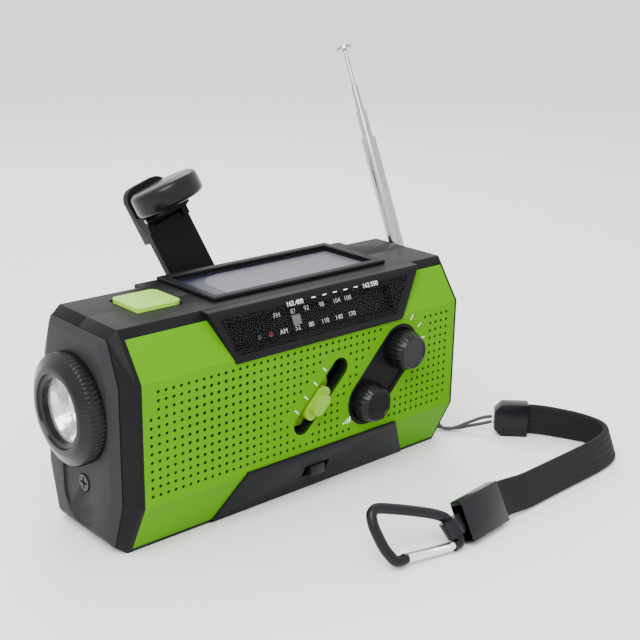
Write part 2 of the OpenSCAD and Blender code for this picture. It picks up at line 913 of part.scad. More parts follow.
// Webbing that stands on its edge. Each point of its route is the middle of the lower edge seen
// from above, the lean of the web to the inside of the bend, and the height of its lowest edge.
web_h = 10;
web_t = 2;
web_route = [
    [83.4, -31, 0, 0.5], [86, -33.6, 0, 0.5], [88.6, -36.6, 1, 0.3], [91.2, -40.8, 3, 0.1],
    [93.4, -45.8, 7, 0.1], [94.8, -51, 12, 0.1], [94.7, -56.2, 16, 0.1], [92, -60.8, 19, 0.1],
    [86.6, -63.6, 20, 0.1], [79, -64.8, 18, 0.1], [70, -65.2, 17, 0.1], [61, -65.5, 17, 0.1],
    [52, -65.9, 18, 0.1], [43, -66.4, 20, 0.2], [36.6, -66.7, 25, 0.8], [33.2, -67, 27, 1.15],
    [29.8, -67.4, 27, 1.22]
];

module strap_webbing() {
    plan = [for (p = web_route) [p[0], p[1]]];
    color([0.07, 0.07, 0.08])
        skin([
            for (i = [0:len(web_route) - 1])
                let (
                    d = heading(plan, i),
                    lean = web_route[i][2],
                    low = [plan[i][0], plan[i][1], web_route[i][3] + web_t / 2 * sin(lean)],
                    up = [d[1] * sin(lean), -d[0] * sin(lean), cos(lean)],
                    half = web_t / 2 * [d[1] * cos(lean), -d[0] * cos(lean), -sin(lean)]
                )
                    each [low - half, low + half, low + half + web_h * up, low - half + web_h * up]
        ], 4);
}

module upper_clip() {
    color([0.1, 0.1, 0.11])
        translate([76.9, -24.6, 0])
            rotate([0, 0, -44.5])
                difference() {
                    translate([0, 2.4, 0])
                        rotate([90, 0, 0])
                            linear_extrude(4.8)
                                polygon([[0, 2.4], [2.4, 0], [10.8, 0], [10.8, 11], [2.4, 11], [0, 8.6]]);
                    block([8.2, -1.35, 0.3], [12, 1.35, 10.7]);
                }
}

// The lower clip leans back with the webbing and rests on its rear edge
clip_lean = 27;
clip_size = [17.3, 4, 11.6];

module lower_clip() {
    middle = clip_size[1] / 2;
    color([0.1, 0.1, 0.11])
        translate([14.1, -71.3, 0.05 + clip_size[1] * sin(clip_lean)])
            rotate([0, 0, 6.3])
                rotate([-clip_lean, 0, 0])
                    difference() {
                        cube(clip_size);
                        block([15.2, middle - 1.35, 0.5], [20, middle + 1.35, 11.1]);
                        block([-1, middle - 1.5, 1.5], [1.6, middle + 1.5, 10.1]);
                    }
}

// Snap hook, drawn in the plane of its bent wire: X along the gate, Y away from it
wire_r = 1.45;
hook_tip_place = [-5.2, -66.7, 1.8];
hook_turn = -8.9;
hook_lean = 34;
gate_hinge = [14, 0];
gate_tip = [-1.5, 0.7];
hook_route = [
    [14, 0], [15.2, 0.1], [16.1, 0.5], [16.3, 1.4], [15.9, 2.4], [15.2, 4.5], [14.5, 6.6], [13.6, 7.9],
    [10.4, 9.6], [4.6, 11.8], [-0.8, 13.6], [-4.6, 14.7], [-6.2, 14.7], [-7.4, 13.8], [-7.8, 12.2],
    [-7.8, 9.9], [-6.9, 5.2], [-5.8, 2.6], [-4.6, 0.9], [-3, 0.5], [-1.5, 0.7]
];

module on_hook() {
    translate(hook_tip_place)
        rotate([0, 0, hook_turn])
            rotate([90 - hook_lean, 0, 0])
                children();
}

// Turn of webbing round the hook's wire, with its ends in the lower clip
module strap_loop() {
    color([0.07, 0.07, 0.08])
        on_hook()
            translate([15.2, 4.5, 0])
                rotate([0, 0, 17.5])
                    difference() {
                        union() {
                            bar_y(2.6, -2.4, 2.4, 0, 0);
                            block([0, -2.4, -0.9], [4.1, 2.4, 0.9]);
                        }
                        bar_y(wire_r + 0.12, -3, 3, 0, 0);
                    }
}

module carabiner_body() {
    color([0.06, 0.06, 0.07])
        on_hook()
            tube([for (p = hook_route) [p[0], p[1], 0]], wire_r, 12);
}

module carabiner_gate() {
    run = gate_tip - gate_hinge;
    pivot = 1.1;
    color([0.85, 0.86, 0.87])
        on_hook()
            translate([gate_hinge[0], gate_hinge[1], 0])
                rotate([0, 0, atan2(run[1], run[0])])
                    union() {
                        translate([pivot, 0, -1.3])
                            cylinder(r = 0.9, h = 2.6);
                        bar_x(1.3, pivot, norm(run) - 0.5, 0, 0);
                    }
}

front_shell();
back_shell();
end_cap();
front_panel();
dial_housing();
dial_window();
dial_plate();
dial_pointer();
indicator_lights();
lower_trim();
knob_well();
tuning_knob();
volume_knob();
band_slider();
battery_selector();
solar_frame();
solar_cell();
power_button();
torch_ring();
torch_reflector();
torch_lens();
torch_led();
end_cap_screw();
case_screws();
crank_hub();
crank_arm();
arm_hinge_pin();
knob_carrier();
carrier_pin();
crank_knob();
drive_gear();
generator();
generator_pinion();
antenna_mount();
antenna_swivel();
antenna_tube_1();
antenna_tube_2();
antenna_tube_3();
antenna_rod();
circuit_board();
speaker();
tuning_capacitor();
volume_pot();
ferrite_antenna();
lithium_cell();
aaa_cells();
battery_door();
battery_contacts();
usb_sockets();
port_flap();
strap_anchor();
strap_cord();
upper_clip();
strap_webbing();
lower_clip();
strap_loop();
carabiner_body();
carabiner_gate();
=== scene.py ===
"""Looks of a hand-crank emergency radio, laid out as a Blender add-on and run as a script."""

import json
import math

import bmesh
import bpy
from bpy.props import FloatProperty, FloatVectorProperty, IntProperty, PointerProperty
from mathutils import Matrix, Vector


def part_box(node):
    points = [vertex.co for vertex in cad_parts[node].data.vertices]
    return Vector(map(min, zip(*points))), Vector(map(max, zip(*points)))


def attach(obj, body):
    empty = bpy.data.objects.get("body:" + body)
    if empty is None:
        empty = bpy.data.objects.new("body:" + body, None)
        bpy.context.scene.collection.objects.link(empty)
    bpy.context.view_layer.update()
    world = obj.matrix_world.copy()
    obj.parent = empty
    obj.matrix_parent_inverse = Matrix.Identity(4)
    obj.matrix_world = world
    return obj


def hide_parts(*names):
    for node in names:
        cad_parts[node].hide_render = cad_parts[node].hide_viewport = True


bl_info = {
    "name": "Emergency Radio",
    "version": (1, 0, 0),
    "blender": (4, 5, 0),
    "location": "View3D > Sidebar > Radio",
    "description": "Builds the looks of a hand-crank emergency radio on its packed frame",
    "category": "Object",
}

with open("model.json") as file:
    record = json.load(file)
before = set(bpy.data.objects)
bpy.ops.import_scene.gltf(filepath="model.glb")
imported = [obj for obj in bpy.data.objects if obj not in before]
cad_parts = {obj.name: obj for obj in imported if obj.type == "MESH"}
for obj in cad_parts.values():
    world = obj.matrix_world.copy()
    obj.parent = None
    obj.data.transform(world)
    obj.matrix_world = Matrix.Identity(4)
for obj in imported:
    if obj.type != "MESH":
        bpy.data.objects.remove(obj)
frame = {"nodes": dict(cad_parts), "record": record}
MM = 0.001


# ---------------------------------------------------------------- settings

def colour(name, description, value):
    return FloatVectorProperty(
        name=name, description=description, default=value, size=3, subtype="COLOR", min=0, max=1
    )


def length(name, description, value, low=0.0, high=1.0):
    return FloatProperty(
        name=name, description=description, default=value, min=low, max=high,
        subtype="DISTANCE", unit="LENGTH", precision=5,
    )


class RadioColours(bpy.types.PropertyGroup):
    """Base colours of the finishes"""
    casing: colour("Casing", "Satin black of the shells", (0.007, 0.007, 0.008))
    end_cap: colour("End cap", "Dark grey of the torch end", (0.022, 0.022, 0.024))
    panel: colour("Panel", "Green of the front panel", (0.07, 0.235, 0))
    button: colour("Button", "Lime of the power button", (0.25, 0.5, 0.02))
    slider: colour("Slider", "Green of the band slider", (0.16, 0.33, 0.003))
    print_ink: colour("Print", "White of the printed marks", (0.85, 0.87, 0.85))
    cell: colour("Solar cell", "Lilac grey of the solar cell", (0.085, 0.085, 0.105))
    cell_dark: colour("Solar film", "Navy of the film round the cell", (0.008, 0.009, 0.03))
    strap: colour("Strap", "Black of the webbing", (0.006, 0.006, 0.0065))
    floor: colour("Floor", "Pale floor", (0.87, 0.87, 0.87))


class RadioSizes(bpy.types.PropertyGroup):
    """Sizes of the details that are added to the frame"""
    edge: length("Edge", "Rounding of the moulded edges", 0.4 * MM, 0, 0.002)
    hole_pitch: length("Hole pitch", "Distance between sound holes", 2.334 * MM, 0.001, 0.01)
    hole_radius: length("Hole radius", "Radius of a sound hole", 0.47 * MM, 0.0001, 0.001)
    print_height: length("Print", "Thickness of the printed marks", 0.02 * MM, 0, 0.001)
    grip_ribs: IntProperty(
        name="Grip ribs", description="Ribs round the torch ring", default=72, min=12, max=200,
    )
    web_ribs: IntProperty(
        name="Web ribs", description="Ribs along the webbing", default=5, min=1, max=12,
    )


class RadioLight(bpy.types.PropertyGroup):
    """Studio light"""
    world: FloatProperty(name="World", description="Strength of the even light", default=1.75, min=0)
    key: FloatProperty(
        name="Key", description="Power of the large soft light", default=6.0, min=0, unit="POWER",
    )
    rim: FloatProperty(name="Rim", description="Power of the light behind", default=2.0, min=0, unit="POWER")
    lens: FloatProperty(name="Lens", description="Focal length", default=65.2, min=10, unit="CAMERA")


def colours():
    return bpy.context.scene.radio_colours


def sizes():
    return bpy.context.scene.radio_sizes


# ---------------------------------------------------------------- shader maths

def connect(tree, slot, term):
    """Links a socket to an input, or sets its value."""
    if isinstance(term, Socket):
        tree.links.new(term.socket, slot)
    else:
        slot.default_value = term


class Socket:
    """A shader output whose arithmetic adds Math nodes."""

    def __init__(self, tree, socket):
        self.tree = tree
        self.socket = socket

    def math(self, operation, first, second=0.0):
        node = self.tree.nodes.new("ShaderNodeMath")
        node.operation = operation
        connect(self.tree, node.inputs[0], first)
        connect(self.tree, node.inputs[1], second)
        return Socket(self.tree, node.outputs[0])

    def __add__(self, other):
        return self.math("ADD", self, other)

    __radd__ = __add__

    def __sub__(self, other):
        return self.math("SUBTRACT", self, other)

    def __rsub__(self, other):
        return self.math("SUBTRACT", other, self)

    def __mul__(self, other):
        return self.math("MULTIPLY", self, other)

    __rmul__ = __mul__

    def __truediv__(self, other):
        return self.math("DIVIDE", self, other)

    def __gt__(self, other):
        return self.math("GREATER_THAN", self, other)

    def __lt__(self, other):
        return self.math("LESS_THAN", self, other)

    def __mod__(self, other):
        return self.math("FLOORED_MODULO", self, other)

    def __abs__(self):
        return self.math("ABSOLUTE", self)


class Finish:
    """A material with one Principled shader, and the nodes that vary it."""

    def __init__(self, name, **plain):
        self.material = bpy.data.materials.new(name)
        self.material.use_nodes = True
        self.tree = self.material.node_tree
        self.shader = self.tree.nodes["Principled BSDF"]
        for socket, value in plain.items():
            self.shader.inputs[socket.replace("_", " ")].default_value = value

    def node(self, kind, settings=(), output=0, **inputs):
        """Adds a node of any type: its settings first, then its sockets. Names use _ for a space."""
        node = self.tree.nodes.new(kind)
        for name, value in dict(settings).items():
            setattr(node, name, value)
        for name, term in inputs.items():
            connect(self.tree, node.inputs[name.replace("_", " ")], term)
        return Socket(self.tree, node.outputs[output])

    def place(self):
        return self.node("ShaderNodeTexCoord", output="Object")

    def along(self, axis, place=None):
        return self.node("ShaderNodeSeparateXYZ", output=axis, Vector=place or self.place())

    def noise(self, scale, detail=2.0, place=None):
        return self.node("ShaderNodeTexNoise", Vector=place or self.place(), Scale=scale, Detail=detail)

    def stretched(self, x, y, z):
        return self.node("ShaderNodeMapping", Vector=self.place(), Scale=(x, y, z))

    def mix(self, factor, first, second):
        """Mix of two colours."""
        node = self.tree.nodes.new("ShaderNodeMix")
        node.data_type = "RGBA"
        connect(self.tree, node.inputs["Factor"], factor)
        connect(self.tree, node.inputs[6], first)
        connect(self.tree, node.inputs[7], second)
        return Socket(self.tree, node.outputs[2])

    def set(self, socket, term):
        connect(self.tree, self.shader.inputs[socket], term)
        return self

    def bump(self, height, distance, strength=1.0):
        bumped = self.node("ShaderNodeBump", Strength=strength, Distance=distance, Height=height)
        return self.set("Normal", bumped)


def rgba(rgb, gain=1.0):
    return (rgb[0] * gain, rgb[1] * gain, rgb[2] * gain, 1.0)


FINISHES = {}


def finish(make):
    """Keeps one material for each finish function."""
    def kept():
        if make.__name__ not in FINISHES:
            FINISHES[make.__name__] = make().material
        return FINISHES[make.__name__]
    return kept


def moulded(name, rgb, rough, grain=2600.0, depth=0.012 * MM, vary=0.18, **plain):
    """Moulded plastic: fine spark texture, slow change of gloss and a little change of tone."""
    look = Finish(name, **plain)
    slow = look.noise(45.0, 3.0)
    fine = look.noise(grain, 2.0)
    look.set("Base Color", look.mix(slow, rgba(rgb, 1 - vary), rgba(rgb, 1 + vary)))
    look.set("Roughness", rough - 0.05 + 0.1 * slow + 0.04 * (fine - 0.5))
    return look.bump(fine, depth, 0.5)


@finish
def casing_black():
    return moulded("casing_black", colours().casing, 0.46, Specular_IOR_Level=0.07)


@finish
def cap_grey():
    return moulded("cap_grey", colours().end_cap, 0.5, Specular_IOR_Level=0.1)


@finish
def gloss_black():
    return moulded("gloss_black", (0.005, 0.005, 0.006), 0.24, 900.0, 0.003 * MM, Specular_IOR_Level=0.2)


@finish
def dial_black():
    return moulded("dial_black", (0.004, 0.004, 0.005), 0.4, 900.0, 0.003 * MM, Specular_IOR_Level=0.1)


@finish
def button_lime():
    return moulded("button_lime", colours().button, 0.42, vary=0.06)


@finish
def slider_green():
    return moulded("slider_green", colours().slider, 0.38, vary=0.06)


@finish
def print_white():
    return moulded("print_white", colours().print_ink, 0.5, 4000.0, 0.004 * MM, 0.04)


@finish
def panel_green():
    """Green plastic whose blind holes are darker at their floors: painted shade in the holes."""
    look = Finish("panel_green", Specular_IOR_Level=0.04)
    slow = look.noise(40.0, 3.0)
    fine = look.noise(2600.0, 2.0)
    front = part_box("front_panel")[0].y
    # Painted shade: the green is darkened where the panel lies behind its front face, inside the sound holes.
    painted_hole_shade = (look.along("Y") > front + 0.12 * MM) * (look.along("Z") > 15.2 * MM)
    painted_hole_shade = painted_hole_shade * (look.along("Z") < 48.5 * MM)
    green = look.mix(slow, rgba(colours().panel, 0.93), rgba(colours().panel, 1.07))
    # Painted shade: a dark copy of the panel green inside the holes.
    look.set("Base Color", look.mix(painted_hole_shade, green, rgba(colours().panel, 0.16)))
    look.set("Roughness", 0.4 + 0.08 * slow + 0.03 * fine)
    return look.bump(fine, 0.01 * MM, 0.4)


@finish
def solar_face():
    """Solar cell: lilac grey strips between fine dark lines, in dark film with a rounded corner."""
    look = Finish("solar_face", Coat_Weight=0.1, Coat_Roughness=0.2, Specular_IOR_Level=0.2)
    low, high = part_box("solar_cell")
    x = look.along("X")
    y = look.along("Y")
    pitch = 1.55 * MM
    line = abs((x - low.x) % pitch - pitch / 2) < 0.07 * MM
    busbar = abs(abs(y - (low.y + high.y) / 2) - 5.2 * MM) < 0.12 * MM
    grain = look.noise(500.0, 3.0)
    cell = look.mix(grain, rgba(colours().cell, 0.85), rgba(colours().cell, 1.15))
    cell = look.mix(line, cell, rgba(colours().cell, 0.42))
    cell = look.mix(busbar, cell, rgba(colours().cell, 1.5))
    radius = 9 * MM
    corner = Vector((low.x + 7 * MM + radius, high.y - 1 * MM - radius, 0))
    dx = (corner.x - x).math("MAXIMUM", corner.x - x, 0.0)
    dy = (y - corner.y).math("MAXIMUM", y - corner.y, 0.0)
    outside = (dx * dx + dy * dy).math("SQRT", dx * dx + dy * dy) > radius
    film = look.mix(outside, cell, rgba(colours().cell_dark))
    look.set("Base Color", film)
    look.set("Roughness", 0.3 + 0.15 * grain)
    return look


@finish
def clear_window():
    look = Finish("clear_window", Base_Color=(0.004, 0.004, 0.005, 1), IOR=1.45, Specular_IOR_Level=0.15)
    haze = look.noise(300.0, 2.0)
    look.set("Roughness", 0.06 + 0.05 * haze)
    look.set("Alpha", 0.16 + 0.05 * haze)
    return look


@finish
def clear_lens():
    look = Finish("clear_lens", Base_Color=(0.9, 0.93, 0.95, 1), IOR=1.49)
    haze = look.noise(200.0, 2.0)
    look.set("Roughness", 0.02 + 0.04 * haze)
    look.set("Alpha", 0.12 + 0.06 * haze)
    return look


@finish
def silvered():
    """Vacuum-plated reflector with facets."""
    look = Finish("silvered", Metallic=1.0)
    spots = look.noise(260.0, 2.0)
    look.set("Base Color", look.mix(spots, (0.62, 0.63, 0.64, 1), (0.92, 0.92, 0.93, 1)))
    look.set("Roughness", 0.08 + 0.12 * spots)
    facets = look.node("ShaderNodeTexVoronoi", Vector=look.place(), Scale=420.0)
    return look.bump(facets, 0.12 * MM, 0.6)


@finish
def chrome():
    look = Finish("chrome", Metallic=1.0)
    streaks = look.noise(1.0, 3.0, look.stretched(900.0, 900.0, 60.0))
    look.set("Base Color", look.mix(streaks, (0.3, 0.3, 0.31, 1), (0.5, 0.5, 0.51, 1)))
    look.set("Roughness", 0.1 + 0.12 * streaks)
    return look


@finish
def gate_silver():
    look = Finish("gate_silver", Metallic=1.0)
    streaks = look.noise(1.0, 3.0, look.stretched(80.0, 900.0, 900.0))
    look.set("Base Color", look.mix(streaks, (0.72, 0.73, 0.74, 1), (0.95, 0.95, 0.95, 1)))
    look.set("Roughness", 0.22 + 0.15 * streaks)
    return look.bump(streaks, 0.01 * MM, 0.4)


@finish
def steel():
    look = Finish("steel", Metallic=1.0)
    streaks = look.noise(1.0, 3.0, look.stretched(120.0, 1500.0, 1500.0))
    look.set("Base Color", look.mix(streaks, (0.42, 0.42, 0.43, 1), (0.68, 0.68, 0.69, 1)))
    look.set("Roughness", 0.25 + 0.2 * streaks)
    return look


@finish
def screw_black():
    return moulded("screw_black", (0.03, 0.03, 0.032), 0.35, 1800.0, 0.01 * MM, Metallic=0.8)


@finish
def hook_black():
    """Anodised wire of the snap hook."""
    return moulded("hook_black", (0.006, 0.006, 0.008), 0.24, 1500.0, 0.006 * MM, Specular_IOR_Level=0.2)


@finish
def webbing():
    """Black webbing: fine cross weave that follows the strap, with painted shade between the threads and
    painted highlight on their tops.
    """
    look = Finish("webbing", Specular_IOR_Level=0.15)
    grid = look.node("ShaderNodeTexCoord", output="UV")
    u = look.along("X", grid)
    v = look.along("Y", grid)
    weft = abs((u % 1.0) - 0.5) * 2.0
    warp = abs((v % 1.0) - 0.5) * 2.0
    fuzz = look.noise(1800.0, 3.0)
    height = weft * 0.6 + warp * 0.4 + fuzz * 0.5
    # Painted shade and highlight: the strap colour is darker in the weave's valleys and lighter on the raised
    # threads; the fuzz adds a random change of tone.
    look.set("Base Color", look.mix(height * 0.7, rgba(colours().strap, 0.55), rgba(colours().strap, 1.9)))
    look.set("Roughness", 0.62 + 0.2 * fuzz)
    return look.bump(height, 0.1 * MM, 0.7)


@finish
def cord_black():
    """Thin braided cord with a twist."""
    look = Finish("cord_black", Sheen_Weight=0.1)
    twist = look.noise(3500.0, 2.0)
    look.set("Base Color", look.mix(twist, (0.008, 0.008, 0.008, 1), (0.035, 0.037, 0.028, 1)))
    look.set("Roughness", 0.5 + 0.2 * twist)
    return look.bump(twist, 0.08 * MM, 0.8)


@finish
def led_red():
    """Two small lamps: the right one red, the left one unlit."""
    look = Finish("led_red")
    tone = look.noise(900.0, 2.0)
    red = look.mix(tone, (0.12, 0.006, 0.008, 1), (0.2, 0.01, 0.012, 1))
    is_right = look.along("X") > -15.5 * MM
    look.set("Base Color", look.mix(is_right, (0.02, 0.02, 0.02, 1), red))
    look.set("Roughness", 0.25 + 0.1 * tone)
    return look


@finish
def led_warm():
    return moulded("led_warm", (0.75, 0.68, 0.3), 0.2, 500.0, vary=0.15)


@finish
def pointer_grey():
    return moulded("pointer_grey", (0.2, 0.2, 0.21), 0.35, vary=0.2)


@finish
def gear_white():
    return moulded("gear_white", (0.75, 0.72, 0.64), 0.4, vary=0.06)


@finish
def board_green():
    return moulded("board_green", (0.012, 0.1, 0.03), 0.35, 700.0, 0.03 * MM, 0.35)


@finish
def cone_black():
    return moulded("cone_black", (0.02, 0.02, 0.021), 0.7, 900.0, 0.04 * MM)


@finish
def ferrite():
    return moulded("ferrite", (0.035, 0.03, 0.03), 0.6, 800.0, 0.03 * MM)


@finish
def cell_blue():
    return moulded("cell_blue", (0.015, 0.07, 0.3), 0.3, vary=0.08)


@finish
def cell_gold():
    """Battery sleeve: copper end and black body."""
    look = Finish("cell_gold", Metallic=0.6)
    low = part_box("aaa_cells")[0]
    copper = look.along("X") > low.x + 30 * MM
    tone = look.noise(60.0, 2.0)
    look.set("Base Color", look.mix(copper, (0.01, 0.01, 0.011, 1), (0.42, 0.2, 0.05, 1)))
    look.set("Roughness", 0.25 + 0.1 * tone)
    return look


@finish
def brass():
    look = Finish("brass", Metallic=1.0)
    tone = look.noise(300.0, 2.0)
    look.set("Base Color", look.mix(tone, (0.5, 0.36, 0.12, 1), (0.72, 0.55, 0.22, 1)))
    look.set("Roughness", 0.25 + 0.15 * tone)
    return look


@finish
def cap_cream():
    return moulded("cap_cream", (0.6, 0.57, 0.48), 0.4, vary=0.06)


@finish
def studio_floor():
    look = Finish("studio_floor")
    tone = look.noise(3.0, 2.0)
    look.set("Base Color", look.mix(tone, rgba(colours().floor, 0.995), rgba(colours().floor, 1.005)))
    look.set("Roughness", 0.55 + 0.1 * tone)
    return look


# ---------------------------------------------------------------- mesh tools

def place_piece(mesh, name, body, material, replaces=()):
    """Makes a mesh an object that rides on a body and stands for CAD nodes."""
    piece = bpy.data.objects.new(name, mesh)
    bpy.context.collection.objects.link(piece)
    if not mesh.materials:
        mesh.materials.append(material)
    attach(piece, body)
    if replaces:
        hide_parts(*replaces)
    return piece


def piece_from(form, name, body, material, replaces=(), smooth_angle=35):
    """Turns a bmesh into a piece, smooth up to the given angle."""
    mesh = bpy.data.meshes.new(name)
    form.to_mesh(mesh)
    form.free()
    mesh.shade_smooth()
    mesh.set_sharp_from_angle(angle=math.radians(smooth_angle))
    return place_piece(mesh, name, body, material, replaces)


def merged_copy(node):
    """A copy of a CAD node's mesh with its loose triangles joined into flat faces."""
    form = bmesh.new()
    form.from_mesh(frame["nodes"][node].data)
    bmesh.ops.remove_doubles(form, verts=form.verts, dist=0.002 * MM)
    bmesh.ops.dissolve_limit(
        form, angle_limit=math.radians(0.5), use_dissolve_boundaries=False,
        verts=form.verts, edges=form.edges, delimit=set(),
    )
    return form


def round_edges(form, width, segments=2, sharper_than=24, longer_than=1.2 * MM, keep=None):
    """Rounds a form's long sharp edges."""
    chosen = [
        edge for edge in form.edges
        if len(edge.link_faces) == 2
        and edge.calc_length() > longer_than
        and edge.calc_face_angle() > math.radians(sharper_than)
        and (keep is None or keep(edge))
    ]
    bmesh.ops.bevel(
        form, geom=chosen, offset=width, offset_type="OFFSET", affect="EDGES",
        segments=segments, profile=0.5, material=-1, clamp_overlap=True,
    )
    return form


def body_of_node(node):
    for body, nodes in frame["record"]["behaviour"]["bodies"].items():
        if node in nodes:
            return body
    raise RuntimeError("no body holds " + node)


def softened(node, material, width=None, **how):
    """Replaces a CAD node by its own form with rounded edges."""
    form = round_edges(merged_copy(node), sizes().edge if width is None else width, **how)
    return piece_from(form, node + "_look", body_of_node(node), material, [node])


def dress(node, material):
    """Gives a CAD node that keeps its shape a better material."""
    data = frame["nodes"][node]
    data.data.materials.clear()
    data.data.materials.append(material)


def evaluated(piece, modifier_type, **settings):
    """Applies one modifier to a piece's mesh."""
    modifier = piece.modifiers.new(modifier_type.lower(), modifier_type)
    for name, value in settings.items():
        setattr(modifier, name, value)
    graph = bpy.context.evaluated_depsgraph_get()
    mesh = bpy.data.meshes.new_from_object(piece.evaluated_get(graph))
    piece.modifiers.clear()
    piece.data = mesh
    return piece


def spun(profile, axis_place, turn, steps=96):
    """Closed ring or disc: a profile of (radius, height) points spun round Z, then turned and placed."""
    form = bmesh.new()
    points = [form.verts.new((radius * MM, 0, height * MM)) for radius, height in profile]
    edges = [form.edges.new(pair) for pair in zip(points, points[1:])]
    bmesh.ops.spin(
        form, geom=points + edges, cent=(0, 0, 0), axis=(0, 0, 1), dvec=(0, 0, 0),
        angle=math.tau, steps=steps, use_merge=True, use_normal_flip=False, use_duplicate=False,
    )
    bmesh.ops.remove_doubles(form, verts=form.verts, dist=0.001 * MM)
    bmesh.ops.recalc_face_normals(form, faces=form.faces)
    bmesh.ops.transform(form, matrix=Matrix.Translation(axis_place) @ turn, verts=form.verts)
    return form


def swept(route, outline, uv_step=None):
    """Sweeps a closed outline of (side, up) points along places with their side and up directions."""
    form = bmesh.new()
    uv = form.loops.layers.uv.new("UVMap")
    rings = []
    lengths = [0.0]
    for i, (place, side, up) in enumerate(route):
        if i:
            lengths.append(lengths[-1] + (place - route[i - 1][0]).length)
        rings.append([form.verts.new(place + side * a + up * b) for a, b in outline])
    count = len(outline)
    step = uv_step or 1.0
    for i in range(len(rings) - 1):
        for k in range(count):
            m = (k + 1) % count
            face = form.faces.new((rings[i][k], rings[i][m], rings[i + 1][m], rings[i + 1][k]))
            for loop, (u, v) in zip(face.loops, ((i, k), (i, k + 1), (i + 1, k + 1), (i + 1, k))):
                loop[uv].uv = (lengths[u] / step, v)
    form.faces.new(rings[0])
    form.faces.new(rings[-1])
    bmesh.ops.recalc_face_normals(form, faces=form.faces)
    return form


def smooth_line(points, each=6):
    """Catmull-Rom line through points of any dimension."""
    padded = [points[0]] + list(points) + [points[-1]]
    line = []
    for i in range(1, len(padded) - 2):
        a, b, c, d = (Vector(p) for p in padded[i - 1:i + 3])
        for step in range(each):
            t = step / each
            line.append(0.5 * (2 * b + (c - a) * t + (2 * a - 5 * b + 4 * c - d) * t * t
                               + (3 * b - a - 3 * c + d) * t ** 3))
    line.append(Vector(points[-1]))
    return line


def block(form, low, high, turn=None):
    """Adds a box between two corners, in millimetres, then turns it."""
    middle = [(a + b) / 2 * MM for a, b in zip(low, high)]
    size = [(b - a) * MM for a, b in zip(low, high)]
    made = bmesh.ops.create_cube(form, size=1.0)
    matrix = Matrix.Translation(middle) @ Matrix.Diagonal((*size, 1.0))
    bmesh.ops.transform(form, matrix=(turn or Matrix.Identity(4)) @ matrix, verts=made["verts"])
    return made["verts"]


# ---------------------------------------------------------------- frames of reference

def turned(axis, degrees):
    return Matrix.Rotation(math.radians(degrees), 4, axis)


HOOK = Matrix.Translation(Vector((-5.2, -66.7, 1.8)) * MM) @ turned("Z", -8.9) @ turned("X", 56)

CORD_ROUTE = [
    (76.5, -24.2, 6), (74.5, -21.7, 5.2), (71.5, -19, 3.6), (68.5, -17, 2.2), (65.5, -15.4, 1.6),
    (63, -14.8, 2.6), (61.2, -14.6, 4.6), (60, -14, 7), (59.8, -12, 7.4), (59.8, -9, 7.5),
    (59.8, -6.4, 7.4), (60.4, -5.2, 6.4), (61.8, -6.6, 4.2), (63.6, -9, 2), (66, -12, 0.8),
    (69, -15.4, 0.9), (72, -18.6, 2), (74.6, -21.9, 3.2), (76.5, -24.2, 4.2),
]
# X and Y of the lower edge, lean in degrees, height of the lower edge
WEB_ROUTE = [
    (83.4, -31, 0, 0.5), (86, -33.6, 0, 0.5), (88.6, -36.6, 1, 0.3), (91.2, -40.8, 3, 0.1),
    (93.4, -45.8, 7, 0.1), (94.8, -51, 12, 0.1), (94.7, -56.2, 16, 0.1), (92, -60.8, 19, 0.1),
    (86.6, -63.6, 20, 0.1), (79, -64.8, 18, 0.1), (70, -65.2, 17, 0.1), (61, -65.5, 17, 0.1),
    (52, -65.9, 18, 0.1), (43, -66.4, 20, 0.2), (36.6, -66.7, 25, 0.8), (33.2, -67, 27, 1.15),
    (29.8, -67.4, 27, 1.22),
]
WEB_HEIGHT = 10
WEB_THICK = 2
HOOK_ROUTE = [
    (14, 0), (15.2, 0.1), (16.1, 0.5), (16.3, 1.4), (15.9, 2.4), (15.2, 4.5), (14.5, 6.6), (13.6, 7.9),
    (10.4, 9.6), (4.6, 11.8), (-0.8, 13.6), (-4.6, 14.7), (-6.2, 14.7), (-7.4, 13.8), (-7.8, 12.2),
    (-7.8, 9.9), (-6.9, 5.2), (-5.8, 2.6), (-4.6, 0.9), (-3, 0.5), (-1.5, 0.7),
]
WIRE_RADIUS = 1.45


class RADIO_OT_camera(bpy.types.Operator):
    """Adds the camera, left of the radio and a little above it"""
    bl_idname = "radio.camera"
    bl_label = "Camera"

    def execute(self, context):
        data = bpy.data.cameras.new("camera")
        data.lens = context.scene.radio_light.lens
        data.sensor_width = 36
        camera = bpy.data.objects.new("camera", data)
        camera.location = (-0.2002, -0.2462, 0.1521)
        camera.rotation_euler = [math.radians(angle) for angle in (71.9346, -1.0174, -41.7249)]
        context.collection.objects.link(camera)
        context.scene.camera = camera
        return {"FINISHED"}


def web_line():
    """Middle, side and up directions along the webbing."""
    points = smooth_line(WEB_ROUTE, 6)
    line = []
    for i, (x, y, lean, base) in enumerate(points):
        ahead = points[min(i + 1, len(points) - 1)]
        behind = points[max(i - 1, 0)]
        heading = Vector((ahead[0] - behind[0], ahead[1] - behind[1])).normalized()
        tilt = math.radians(lean)
        side = Vector((heading.y * math.cos(tilt), -heading.x * math.cos(tilt), -math.sin(tilt)))
        up = Vector((heading.y * math.sin(tilt), -heading.x * math.sin(tilt), math.cos(tilt)))
        low = Vector((x, y, base + WEB_THICK / 2 * math.sin(tilt)))
        line.append(((low + up * WEB_HEIGHT / 2) * MM, side, up))
    return line


def web_outline(ribs, depth=0.16):
    """Cross-section of the webbing, with ribs along both faces."""
    steps = ribs * 6
    half = WEB_HEIGHT / 2 - 0.3
    face = []
    for k in range(steps + 1):
        t = k / steps
        thick = WEB_THICK / 2 - depth * (0.5 + 0.5 * math.cos(t * ribs * math.tau))
        face.append((thick * MM, (-half + 2 * half * t) * MM))
    edges = [(0.4 * MM, (half + 0.3) * MM), (-0.4 * MM, (half + 0.3) * MM)]
    return face + edges + [(-a, b) for a, b in reversed(face)] + [(-a, -b) for a, b in edges]


